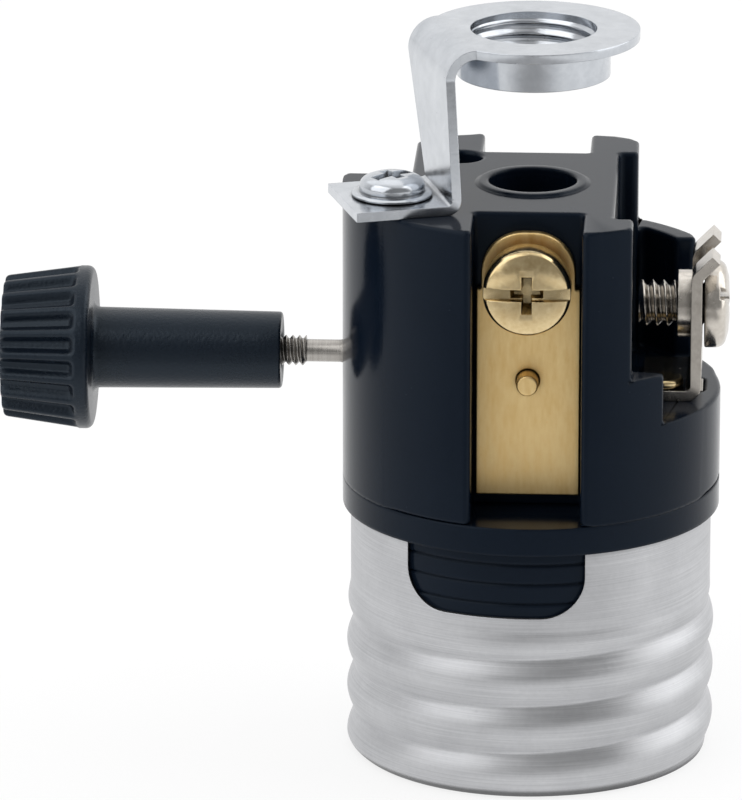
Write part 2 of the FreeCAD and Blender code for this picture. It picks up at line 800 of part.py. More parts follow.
# ------------------------------------------------------------------- knob and shaft
def knob():
    """Ribbed knob with a long stem; its own Z axis runs from the stem's mouth outwards."""
    seat = D.stem_length
    flange = seat + D.flange_length
    end = flange + D.grip_length
    bore = D.shaft_radius + D.running_gap
    deep = D.shaft_out - D.knob_gap + D.hole_clearance
    body = turned_body("knob_turned", [
        (bore, 0), (D.stem_radius, 0), (D.stem_radius, seat), (D.flange_radius, seat),
        (D.flange_radius, flange), (D.grip_end_radius, end), (0, end), (0, deep), (bore, deep),
    ])
    fall = (D.flange_radius - D.grip_end_radius).number
    taper = math.degrees(math.atan2(fall, D.grip_length.number))
    groove = body.newObject("PartDesign::SubtractiveBox", "knob_groove")
    groove.AttachmentSupport = [(plane_of(body, "XY_Plane"), "")]
    groove.MapMode = "FlatFace"
    groove.AttachmentOffset = Placement(Vector(), Rotation(Vector(0, 1, 0), -taper))
    bind(groove, Length=D.rib_groove_depth + SLACK, Width=D.rib_groove_width, Height=D.grip_length + SLACK,
         AttachmentOffset__Base__x=D.flange_radius - D.rib_groove_depth,
         AttachmentOffset__Base__y=-D.rib_groove_width / 2, AttachmentOffset__Base__z=flange)
    pattern = body.newObject("PartDesign::PolarPattern", "knob_grooves")
    pattern.Originals = [groove]
    pattern.Axis = (plane_of(body, "Z_Axis"), [""])
    pattern.Angle = 360
    pattern.setExpression("Occurrences", "Sizes.rib_count")
    body.Tip = pattern
    doc.recompute()
    mouth = -(D.moulding_radius + D.knob_gap)
    placed(body, "knob", TO_LEFT, mouth, 0, Z_SHAFT)


def switch_shaft():
    """Steel shaft from the knob through the body to its inner bearing."""
    shaft = rod("switch_shaft", D.shaft_radius, "X", -SHAFT_REACH, SHAFT_REACH + D.shaft_inner_end,
                (0, Z_SHAFT))
    node(shaft, "switch_shaft")


def switch_collar():
    """Ring on the shaft that bears on the chamber wall and keeps the shaft in."""
    start = -CHAMBER_LEFT + D.running_gap
    wall = rod("collar_wall", D.collar_radius, "X", start, D.collar_length, (0, Z_SHAFT))
    bore = rod("collar_bore", D.shaft_radius, "X", start - SLACK, D.collar_length + 2 * SLACK,
               (0, Z_SHAFT))
    node(cut("switch_collar", wall, bore), "switch_collar")


def switch_rotor():
    """Moulded rotor with four flats; the contact bridge lies in a groove round it."""
    start = -ROTOR_LEFT
    flat = ROTOR_FLAT
    wall = rod("rotor_wall", ROTOR_RADIUS, "X", start, D.rotor_length, (0, Z_SHAFT))
    square = block("rotor_square", (start - SLACK, start + D.rotor_length + SLACK), (-flat, flat),
                   (Z_SHAFT - flat, Z_SHAFT + flat))
    bore = rod("rotor_bore", D.shaft_radius, "X", start - SLACK, D.rotor_length + 2 * SLACK,
               (0, Z_SHAFT))
    node(cut("switch_rotor", common("rotor_flats", wall, square), bore), "switch_rotor")


def rotor_contact():
    """Brass bridge clipped on the rotor's inner end; it joins the two fixed contacts."""
    start = -ROTOR_LEFT + D.rotor_length
    half = D.contact_leaf * 2
    span = ROTOR_RADIUS
    bar = block("bridge_bar", (start, start + D.contact_leaf), (-span, span),
                (Z_SHAFT - half * 2, Z_SHAFT + half * 2))
    bore = rod("bridge_bore", D.shaft_radius, "X", start - SLACK, 3 * SLACK, (0, Z_SHAFT))
    node(cut("rotor_contact", bar, bore), "rotor_contact")


# ------------------------------------------------------------------- contacts and springs
def detent_spring():
    """Leaf under the rotor, its ends resting on posts that stand on the disc."""
    leaf = D.contact_leaf
    top = Z_SHAFT - ROTOR_RADIUS - D.leaf_gap
    start = -ROTOR_LEFT
    end = start + D.rotor_length * 0.6
    half = CHAMBER_HALF - D.leaf_gap
    path = [(-half, Z_PART), (-half, top - leaf / 2), (half, top - leaf / 2), (half, Z_PART)]
    strip = computed("spring_strip", bent_strip(path, [leaf * 2, leaf * 2], leaf, D.rotor_length * 0.6))
    strip.Placement = Placement(Vector(), Rotation(90, 0, 0))
    put(strip, (start + end) / 2, 0, 0)
    node(strip, "detent_spring")


def feed_contact():
    """Finger under the line terminal's pin; the turning bridge meets its free end."""
    leaf = D.contact_leaf
    outer = -CHAMBER_HALF
    start = -ROTOR_LEFT + D.rotor_length
    half = D.pin_radius * 2
    bar = block("feed_bar", (start - half / 2, half), (outer, outer + leaf), (Z_PIN - half, Z_PIN + half))
    hole = rod("feed_hole", D.pin_radius, "Y", outer - SLACK, 3 * SLACK, (0, Z_PIN))
    node(cut("feed_contact", bar, hole), "feed_contact")


def load_contact():
    """Bent strip from the bridge's far side down to the centre contact's rivet."""
    leaf = D.contact_leaf
    x = -ROTOR_LEFT + D.rotor_length + leaf + D.leaf_gap + leaf / 2
    low = Z_PART + leaf / 2
    path = [(-CHAMBER_LEFT + D.leaf_gap, low), (x, low), (x, Z_SHAFT + ROTOR_FLAT)]
    strip = computed("load_strip", bent_strip(path, [leaf * 2], leaf, D.contact_width))
    tools = [
        rod("load_rivet_hole", D.rivet_radius + D.hole_clearance / 2, "Z", Z_PART - SLACK, 3 * SLACK,
            (-CONTACT_ROOT, 0)),
        rod("load_shaft_hole", D.shaft_radius * 1.5, "X", x - SLACK, 2 * SLACK, (0, Z_SHAFT)),
    ]
    node(cut("load_contact", strip, *tools), "load_contact")


def centre_rivet():
    """Rivet that joins the load contact, the disc and the centre contact."""
    leaf = D.contact_leaf
    blank = headed("centre_rivet", D.rivet_head_radius, D.rivet_head_height, D.rivet_radius,
                   D.disc_floor + 2 * leaf, [(D.rivet_head_radius, 0)])
    placed(blank, "centre_contact_rivet", UP, -CONTACT_ROOT, 0, Z_PART + leaf)


def centre_contact():
    """Springy brass tongue under the disc that the lamp's tip presses up."""
    leaf = D.contact_leaf
    top = Z_FLOOR - leaf / 2
    root = -(CONTACT_ROOT + D.rivet_head_radius)
    bend = -CONTACT_ROOT + D.rivet_head_radius
    tip = top - D.contact_drop
    path = [(root, top), (bend, top), (as_size(0), tip), (D.contact_tip, tip),
            (D.contact_tip * 2, tip + leaf * 2)]
    bends = [leaf * 3, leaf * 3, leaf * 2]
    strip = computed("centre_strip", bent_strip(path, bends, leaf, D.contact_width))
    hole = rod("centre_hole", D.rivet_radius + D.hole_clearance / 2, "Z", Z_FLOOR - 2 * SLACK,
               3 * SLACK, (-CONTACT_ROOT, 0))
    node(cut("centre_contact", strip, hole), "centre_contact")


def assembly_screws():
    """Two screws that enter under the disc and hold it to the body."""
    for number, (x, y) in enumerate(assembly_places(), start=1):
        blank = headed(f"assembly_{number}", D.assembly_head_radius, D.assembly_head_height,
                       D.assembly_radius, D.assembly_length - SLACK, [(D.assembly_head_radius, 0)])
        placed(blank, f"assembly_screw_{number}", DOWN, x, y, Z_FLOOR)


screw_shell()
base_disc()
upper_body()
bracket()
terminal_screws()
line_terminal_plate()
line_pin()
neutral_terminal_plate()
neutral_rivet()
neutral_strap()
knob()
switch_shaft()
switch_collar()
switch_rotor()
rotor_contact()
detent_spring()
feed_contact()
load_contact()
centre_rivet()
centre_contact()
assembly_screws()
doc.recompute()
os.makedirs("parts", exist_ok=True)
for obj in doc.Objects:
    if "Invalid" in obj.State or "Error" in obj.State:
        raise RuntimeError(f"{obj.Label} failed: {obj.State}")
for obj in nodes:
    if obj.Shape.isNull() or not obj.Shape.isValid():
        raise RuntimeError(f"{obj.Label} has no valid shape")
    obj.Shape.exportStep(f"parts/{obj.Label}.step")
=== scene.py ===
import json
import math

import bmesh
import bpy
from mathutils import Matrix, Vector
from mathutils.bvhtree import BVHTree

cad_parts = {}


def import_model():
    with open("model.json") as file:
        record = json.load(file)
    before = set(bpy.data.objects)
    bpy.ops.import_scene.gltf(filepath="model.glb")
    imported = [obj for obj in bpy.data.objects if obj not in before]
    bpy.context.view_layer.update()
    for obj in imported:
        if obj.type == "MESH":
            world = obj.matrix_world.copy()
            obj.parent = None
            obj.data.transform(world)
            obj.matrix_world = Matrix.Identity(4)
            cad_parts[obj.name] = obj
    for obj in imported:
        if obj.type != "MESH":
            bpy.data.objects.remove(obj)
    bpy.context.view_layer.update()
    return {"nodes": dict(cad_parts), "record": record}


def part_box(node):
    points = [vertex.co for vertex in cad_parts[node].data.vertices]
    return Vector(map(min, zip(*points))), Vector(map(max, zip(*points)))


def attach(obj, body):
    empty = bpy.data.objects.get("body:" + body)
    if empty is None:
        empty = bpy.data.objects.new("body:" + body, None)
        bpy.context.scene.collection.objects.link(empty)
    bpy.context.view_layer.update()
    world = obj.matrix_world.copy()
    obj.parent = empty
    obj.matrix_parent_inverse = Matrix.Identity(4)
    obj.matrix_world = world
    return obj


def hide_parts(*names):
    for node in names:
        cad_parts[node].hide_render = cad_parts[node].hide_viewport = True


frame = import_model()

# Turn-knob lamp holder: finishes, threads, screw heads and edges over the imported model.
# Everything is in metres; the shell's axis is Z, the line terminal faces -Y.

MM = 0.001
nodes_in_frame = frame["nodes"]


# ------------------------------------------------------------------ sizes from the frame
def spread(node):
    """Lowest corner, highest corner and size of a node."""
    low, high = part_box(node)
    low, high = Vector(low), Vector(high)
    return low, high, high - low


BODY_TOP = spread("upper_body")[1].z
BRACKET_TOP = spread("bracket")[1].z
KNOB_SEAT = spread("knob")[1].x
KNOB_LENGTH = spread("knob")[2].x
shaft_low, shaft_high, shaft_size = spread("switch_shaft")
SHAFT_HEIGHT = (shaft_low.z + shaft_high.z) / 2

# The shell takes a medium screw lamp base, with seven turns to the inch.
SHELL_LENGTH = spread("screw_shell")[2].z
THREAD_PITCH = 3.629 * MM
CREST_RADIUS = spread("screw_shell")[2].x / 2
ROOT_RADIUS = CREST_RADIUS - 0.55 * MM
PLAIN_RADIUS = CREST_RADIUS - 0.3 * MM
FIRST_CREST = 2.59 * MM
THREAD_END = 12.9 * MM
SHELL_WALL = 0.35 * MM
WINDOW_WIDTH = 13.3 * MM
WINDOW_DEPTH = 5.0 * MM
WINDOW_CORNER = 3.0 * MM
WINDOW_TURN = -10.6

# Degrees past which an edge stays sharp: on moulded and stamped pieces, on turned ones and on threads
SHARP_ANGLE = 40
TURNED_ANGLE = 35
THREAD_ANGLE = 70
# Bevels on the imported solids: only edges that turn by more than EASED_ANGLE are rounded, and
# corners narrower than NARROW_CORNER are left sharp, because a bevel would stand out there.
EASED_ANGLE = 28
NARROW_CORNER = 25
FLAT_ANGLE = 0.3
MERGE_DISTANCE = 1e-7


# ------------------------------------------------------------------ shared node helpers
def math_node(tree, operation, first, second=None, third=None, clamp=False):
    """A Math node fed by sockets or numbers; returns its output."""
    node = tree.nodes.new("ShaderNodeMath")
    node.operation = operation
    node.use_clamp = clamp
    for socket, value in zip(node.inputs, (first, second, third)):
        feed(tree, socket, value)
    return node.outputs[0]


def feed(tree, socket, value):
    """Link a socket to another one, or set its value."""
    if value is None:
        return
    if isinstance(value, bpy.types.NodeSocket):
        tree.links.new(value, socket)
    else:
        socket.default_value = value


def eased_step(tree, value, first, last):
    """0 up to one value and 1 from another, with a soft change between."""
    step = tree.nodes.new("ShaderNodeMapRange")
    step.interpolation_type = "SMOOTHSTEP"
    feed(tree, step.inputs["From Min"], first)
    feed(tree, step.inputs["From Max"], last)
    feed(tree, step.inputs["Value"], value)
    return step.outputs["Result"]


def in_range(tree, value, given, wanted):
    """A value carried from one range to another."""
    node = tree.nodes.new("ShaderNodeMapRange")
    feed(tree, node.inputs["Value"], value)
    for label, limit in zip(("From Min", "From Max", "To Min", "To Max"), (*given, *wanted)):
        node.inputs[label].default_value = limit
    return node.outputs["Result"]


def between_values(tree, share, first, last):
    """A value that goes from one to another with a share."""
    node = tree.nodes.new("ShaderNodeMix")
    for label, value in (("Factor", share), ("A", first), ("B", last)):
        feed(tree, node.inputs[label], value)
    return node.outputs["Result"]


def new_group(kind, name, inputs, outputs):
    """A node group with its sockets; returns the tree, its input node and its output node."""
    tree = bpy.data.node_groups.new(name, kind)
    for label, socket_type, default in inputs:
        socket = tree.interface.new_socket(label, in_out="INPUT", socket_type=socket_type)
        if default is not None:
            socket.default_value = default
    for label, socket_type in outputs:
        tree.interface.new_socket(label, in_out="OUTPUT", socket_type=socket_type)
    return tree, tree.nodes.new("NodeGroupInput"), tree.nodes.new("NodeGroupOutput")


# ------------------------------------------------------------------ shader groups
def mottle_group():
    """Soft large-scale and fine small-scale variation, from the object's own coordinates."""
    tree, start, end = new_group(
        "ShaderNodeTree", "mottle",
        [("Scale", "NodeSocketFloat", 200.0), ("Fine Scale", "NodeSocketFloat", 2500.0),
         ("Fine Share", "NodeSocketFloat", 0.4)],
        [("Mask", "NodeSocketFloat"), ("Fine", "NodeSocketFloat")],
    )
    place = tree.nodes.new("ShaderNodeTexCoord").outputs["Object"]
    layers = []
    for name in ("Scale", "Fine Scale"):
        noise = tree.nodes.new("ShaderNodeTexNoise")
        noise.inputs["Detail"].default_value = 3.0
        tree.links.new(place, noise.inputs["Vector"])
        tree.links.new(start.outputs[name], noise.inputs["Scale"])
        layers.append(noise.outputs["Fac"])
    tree.links.new(between_values(tree, start.outputs["Fine Share"], *layers), end.inputs["Mask"])
    tree.links.new(layers[1], end.inputs["Fine"])
    return tree


def drawn_lines_group():
    """Fine lines left by drawing, rolling or turning: noise squeezed along one direction."""
    tree, start, end = new_group(
        "ShaderNodeTree", "drawn_lines",
        [("Across", "NodeSocketVector", (300.0, 300.0, 9000.0))],
        [("Lines", "NodeSocketFloat")],
    )
    place = tree.nodes.new("ShaderNodeTexCoord").outputs["Object"]
    scale = tree.nodes.new("ShaderNodeVectorMath")
    scale.operation = "MULTIPLY"
    tree.links.new(place, scale.inputs[0])
    tree.links.new(start.outputs["Across"], scale.inputs[1])
    noise = tree.nodes.new("ShaderNodeTexNoise")
    noise.inputs["Scale"].default_value = 1.0
    noise.inputs["Detail"].default_value = 4.0
    tree.links.new(scale.outputs[0], noise.inputs["Vector"])
    tree.links.new(noise.outputs["Fac"], end.inputs["Lines"])
    return tree


def handling_group():
    """Small nicks and rubbed spots: sparse points of cell noise, softened by a broad noise."""
    tree, start, end = new_group(
        "ShaderNodeTree", "handling_marks",
        [("Scale", "NodeSocketFloat", 900.0), ("Amount", "NodeSocketFloat", 0.12)],
        [("Marks", "NodeSocketFloat")],
    )
    place = tree.nodes.new("ShaderNodeTexCoord").outputs["Object"]
    cells = tree.nodes.new("ShaderNodeTexVoronoi")
    tree.links.new(place, cells.inputs["Vector"])
    tree.links.new(start.outputs["Scale"], cells.inputs["Scale"])
    near = math_node(tree, "LESS_THAN", cells.outputs["Distance"], start.outputs["Amount"])
    noise = tree.nodes.new("ShaderNodeTexNoise")
    noise.inputs["Scale"].default_value = 350.0
    tree.links.new(place, noise.inputs["Vector"])
    rubbed_over = 0.56
    broad = math_node(tree, "GREATER_THAN", noise.outputs["Fac"], rubbed_over)
    both = math_node(tree, "MULTIPLY", near, broad)
    tree.links.new(both, end.inputs["Marks"])
    return tree


MOTTLE = mottle_group()
DRAWN_LINES = drawn_lines_group()
HANDLING = handling_group()


def place_group(tree, group, **values):
    """A placed shader group with its inputs set; an underscore in a name stands for a space."""
    node = tree.nodes.new("ShaderNodeGroup")
    node.node_tree = group
    for name, value in values.items():
        feed(tree, node.inputs[name.replace("_", " ")], value)
    return node


def spread_value(tree, mask, low, high):
    """A noise mask, which lies mostly between 0.3 and 0.7, stretched between two values."""
    return in_range(tree, mask, (0.3, 0.7), (low, high))


def two_colours(tree, mask, dark, light):
    """A colour between two, by a mask."""
    first_colour, second_colour, mixed_colour = 6, 7, 2
    node = tree.nodes.new("ShaderNodeMix")
    node.data_type = "RGBA"
    feed(tree, node.inputs["Factor"], mask)
    node.inputs[first_colour].default_value = (*dark, 1.0)
    node.inputs[second_colour].default_value = (*light, 1.0)
    return node.outputs[mixed_colour]


def eased_edges(tree, radius):
    """A normal that turns gently over edges within a radius."""
    ease = tree.nodes.new("ShaderNodeBevel")
    ease.samples = 4
    ease.inputs["Radius"].default_value = radius
    return ease.outputs["Normal"]


def bump(tree, height, strength, distance, under=None):
    """A Bump node; returns its normal."""
    node = tree.nodes.new("ShaderNodeBump")
    node.inputs["Strength"].default_value = strength
    node.inputs["Distance"].default_value = distance
    feed(tree, node.inputs["Height"], height)
    if under is not None:
        tree.links.new(under, node.inputs["Normal"])
    return node.outputs["Normal"]


def new_material(name, metallic=0.0, specular=0.5, tint=(1.0, 1.0, 1.0)):
    """A material with a plain Principled shader; returns material, tree and shader."""
    material = bpy.data.materials.new(name)
    material.use_nodes = True
    tree = material.node_tree
    shader = tree.nodes["Principled BSDF"]
    shader.inputs["Metallic"].default_value = metallic
    shader.inputs["IOR"].default_value = 1.5
    shader.inputs["Specular IOR Level"].default_value = specular
    shader.inputs["Specular Tint"].default_value = (*tint, 1.0)
    return material, tree, shader


# ------------------------------------------------------------------ finishes
def moulded_plastic(name, dark, light, roughness, grain, specular, edge):
    """Black moulded plastic: slight flow marks in colour and gloss, and a fine skin texture."""
    material, tree, shader = new_material(name, specular=specular, tint=(0.72, 0.86, 1.0))
    mottle = place_group(tree, MOTTLE, Scale=160.0, Fine_Scale=4200.0, Fine_Share=0.35)
    marks = place_group(tree, HANDLING, Scale=1200.0, Amount=0.1)
    colour = two_colours(tree, mottle.outputs["Mask"], dark, light)
    tree.links.new(colour, shader.inputs["Base Color"])
    rough = spread_value(tree, mottle.outputs["Mask"], *roughness)
    rough = math_node(tree, "MULTIPLY_ADD", marks.outputs["Marks"], 0.12, rough, clamp=True)
    tree.links.new(rough, shader.inputs["Roughness"])
    skin = bump(tree, mottle.outputs["Fine"], grain, 0.05 * MM, eased_edges(tree, edge))
    tree.links.new(skin, shader.inputs["Normal"])
    return material


def painted_corner_shade(tree, colour):
    """A colour darkened by painted shade, from ambient occlusion, in recesses and between close surfaces."""
    near = tree.nodes.new("ShaderNodeAmbientOcclusion")
    near.samples = 6
    near.inputs["Distance"].default_value = 0.9 * MM
    darkest = 0.25
    shade = spread_value(tree, math_node(tree, "POWER", near.outputs["AO"], 1.6), darkest, 1.0)
    darker = tree.nodes.new("ShaderNodeVectorMath")
    darker.operation = "SCALE"
    tree.links.new(colour, darker.inputs["Vector"])
    tree.links.new(shade, darker.inputs["Scale"])
    return darker.outputs["Vector"]


def plated_metal(name, dark, light, roughness, lines, line_share, mark_share, grain):
    """Plated or bare metal: drawn lines, cloudy plating, a few rubbed nicks and painted shade in its corners.
    """
    material, tree, shader = new_material(name, metallic=1.0)
    mottle = place_group(tree, MOTTLE, Scale=260.0, Fine_Scale=3000.0, Fine_Share=0.3)
    drawn = place_group(tree, DRAWN_LINES, Across=lines)
    marks = place_group(tree, HANDLING, Scale=1500.0, Amount=0.14)
    mixed = math_node(tree, "MULTIPLY_ADD", drawn.outputs["Lines"], line_share,
                      math_node(tree, "MULTIPLY", mottle.outputs["Mask"], 1.0 - line_share))
    colour = two_colours(tree, spread_value(tree, mixed, 0.0, 1.0), dark, light)
    # The base colour is darkened by painted shade in corners and recesses.
    tree.links.new(painted_corner_shade(tree, colour), shader.inputs["Base Color"])
    rough = spread_value(tree, mixed, *roughness)
    rough = math_node(tree, "MULTIPLY_ADD", marks.outputs["Marks"], mark_share, rough, clamp=True)
    tree.links.new(rough, shader.inputs["Roughness"])
    fine = bump(tree, drawn.outputs["Lines"], grain, 0.03 * MM, eased_edges(tree, 0.1 * MM))
    tree.links.new(bump(tree, mottle.outputs["Mask"], grain * 0.6, 0.06 * MM, fine), shader.inputs["Normal"])
    return material


FINISHES = {
    "phenolic": moulded_plastic(
        "phenolic", dark=(0.0025, 0.005, 0.0105), light=(0.005, 0.009, 0.017),
        roughness=(0.1, 0.2), grain=0.1, specular=0.13, edge=0.3 * MM),
    "knob": moulded_plastic(
        "knob_plastic", dark=(0.0028, 0.0055, 0.0105), light=(0.006, 0.0098, 0.0165),
        roughness=(0.24, 0.34), grain=0.5, specular=0.34, edge=0.1 * MM),
    "aluminium": plated_metal(
        "rolled_aluminium", dark=(0.42, 0.425, 0.44), light=(0.62, 0.625, 0.64), roughness=(0.38, 0.48),
        lines=(120.0, 120.0, 14000.0), line_share=0.55, mark_share=0.12, grain=0.16),
    "zinc": plated_metal(
        "bright_zinc", dark=(0.47, 0.495, 0.53), light=(0.65, 0.675, 0.71), roughness=(0.13, 0.24),
        lines=(900.0, 900.0, 900.0), line_share=0.4, mark_share=0.14, grain=0.14),
    "brass_sheet": plated_metal(
        "stamped_brass", dark=(0.84, 0.57, 0.23), light=(1.0, 0.77, 0.39), roughness=(0.36, 0.5),
        lines=(2500.0, 600.0, 600.0), line_share=0.6, mark_share=0.15, grain=0.22),
    "brass_screw": plated_metal(
        "turned_brass", dark=(0.62, 0.46, 0.23), light=(0.84, 0.68, 0.4), roughness=(0.14, 0.24),
        lines=(1500.0, 1500.0, 1500.0), line_share=0.5, mark_share=0.16, grain=0.15),
    "nickel": plated_metal(
        "warm_nickel", dark=(0.5, 0.46, 0.41), light=(0.7, 0.66, 0.6), roughness=(0.14, 0.26),
        lines=(1500.0, 1500.0, 1500.0), line_share=0.45, mark_share=0.15, grain=0.14),
    "dark_steel": plated_metal(
        "plated_shaft", dark=(0.3, 0.28, 0.26), light=(0.5, 0.48, 0.45), roughness=(0.2, 0.32),
        lines=(7000.0, 300.0, 300.0), line_share=0.5, mark_share=0.15, grain=0.14),
}

NODE_FINISH = {
    "screw_shell": "aluminium", "base_disc": "phenolic", "upper_body": "phenolic", "knob": "knob",
    "bracket": "zinc", "bracket_screw": "zinc", "assembly_screw_1": "zinc", "assembly_screw_2": "zinc",
    "line_terminal_plate": "brass_sheet", "line_terminal_pin": "brass_sheet",
    "line_terminal_screw": "brass_screw", "neutral_terminal_plate": "nickel",
    "neutral_terminal_screw": "nickel", "neutral_terminal_rivet": "brass_screw",
    "neutral_strap": "nickel", "switch_shaft": "dark_steel", "switch_collar": "dark_steel",
    "switch_rotor": "phenolic", "rotor_contact": "brass_sheet", "detent_spring": "nickel",
    "feed_contact": "brass_sheet", "load_contact": "brass_sheet",
    "centre_contact_rivet": "brass_screw", "centre_contact": "brass_sheet",
}


# ------------------------------------------------------------------ turning pieces out
def smooth_by_angle(mesh, degrees):
    """Shade a mesh smooth, with the edges sharper than an angle kept sharp."""
    work = bmesh.new()
    work.from_mesh(mesh)
    limit = math.radians(degrees)
    for face in work.faces:
        face.smooth = True
    for edge in work.edges:
        edge.smooth = not (len(edge.link_faces) == 2 and edge.calc_face_angle(0.0) > limit)
    work.to_mesh(mesh)
    work.free()


def linked_object(name, data):
    """A new object in the scene, at the origin."""
    item = bpy.data.objects.new(name, data)
    bpy.context.scene.collection.objects.link(item)
    return item


def new_mesh(name, work):
    """A bmesh written out as a new mesh."""
    mesh = bpy.data.meshes.new(name)
    work.to_mesh(mesh)
    work.free()
    return mesh


def add_piece(name, mesh, finish, body, replaced=()):
    """A finished piece at the origin that rides on a body and stands for CAD nodes."""
    piece = linked_object(name, mesh)
    mesh.materials.clear()
    mesh.materials.append(FINISHES[finish])
    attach(piece, body)
    if replaced:
        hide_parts(*replaced)
    return piece


def evaluated_mesh(piece):
    """The plain mesh that an object's modifiers give; the object itself is removed."""
    graph = bpy.context.evaluated_depsgraph_get()
    mesh = bpy.data.meshes.new_from_object(piece.evaluated_get(graph), depsgraph=graph)
    bpy.data.objects.remove(piece)
    return mesh


def body_with(node):
    """The name of the body that a node belongs to."""
    return next(name for name, members in frame["record"]["behaviour"]["bodies"].items() if node in members)


def eased_copy(node, edge_width, clamped=True):
    """A node's solid with merged faces and small rounded edges, as a plain mesh."""
    mesh = nodes_in_frame[node].data.copy()
    work = bmesh.new()
    work.from_mesh(mesh)
    weight = work.edges.layers.float.new("bevel_weight_edge")
    bmesh.ops.remove_doubles(work, verts=work.verts, dist=MERGE_DISTANCE)
    bmesh.ops.dissolve_limit(work, angle_limit=math.radians(FLAT_ANGLE), verts=work.verts,
                             edges=work.edges, delimit=set())
    narrow = {corner.vert for face in work.faces for corner in face.loops
              if corner.calc_angle() < math.radians(NARROW_CORNER)}
    for edge in work.edges:
        if edge.calc_face_angle(0.0) > math.radians(EASED_ANGLE) and not narrow.intersection(edge.verts):
            edge[weight] = 1.0
    surface = BVHTree.FromBMesh(work)
    work.to_mesh(mesh)
    work.free()
    piece = linked_object(f"{node}_work", mesh)
    ease = piece.modifiers.new("ease", "BEVEL")
    ease.width = edge_width
    ease.segments = 3
    ease.limit_method = "WEIGHT"
    ease.use_clamp_overlap = clamped
    ease.miter_outer = "MITER_ARC"
    mesh = evaluated_mesh(piece)
    for vert in mesh.vertices:
        nearest, _, _, gap = surface.find_nearest(vert.co)
        if gap > edge_width / 2:
            vert.co = nearest
    return flat_faced(mesh)


def flat_faced(mesh):
    """Shade a mesh smooth over its small edges, with its large faces kept flat."""
    smooth_by_angle(mesh, SHARP_ANGLE)
    piece = linked_object("work", mesh)
    weigh = piece.modifiers.new("weigh", "WEIGHTED_NORMAL")
    weigh.keep_sharp = True
    weigh.weight = 100
    return evaluated_mesh(piece)


def dress(node, edge_width, **options):
    """Replace a node by its own solid with eased edges and its finish."""
    mesh = eased_copy(node, edge_width, **options)
    return add_piece(f"{node}_finished", mesh, NODE_FINISH[node], body_with(node), [node])


# ------------------------------------------------------------------ rolled and cut threads
def finish_tree(tree, shape, start, end):
    """End a Geometry Nodes tree: instances made real, and the material set."""
    real = tree.nodes.new("GeometryNodeRealizeInstances")
    tree.links.new(shape, real.inputs[0])
    finish = tree.nodes.new("GeometryNodeSetMaterial")
    tree.links.new(real.outputs[0], finish.inputs["Geometry"])
    tree.links.new(start.outputs["Material"], finish.inputs["Material"])
    tree.links.new(finish.outputs[0], end.inputs[0])


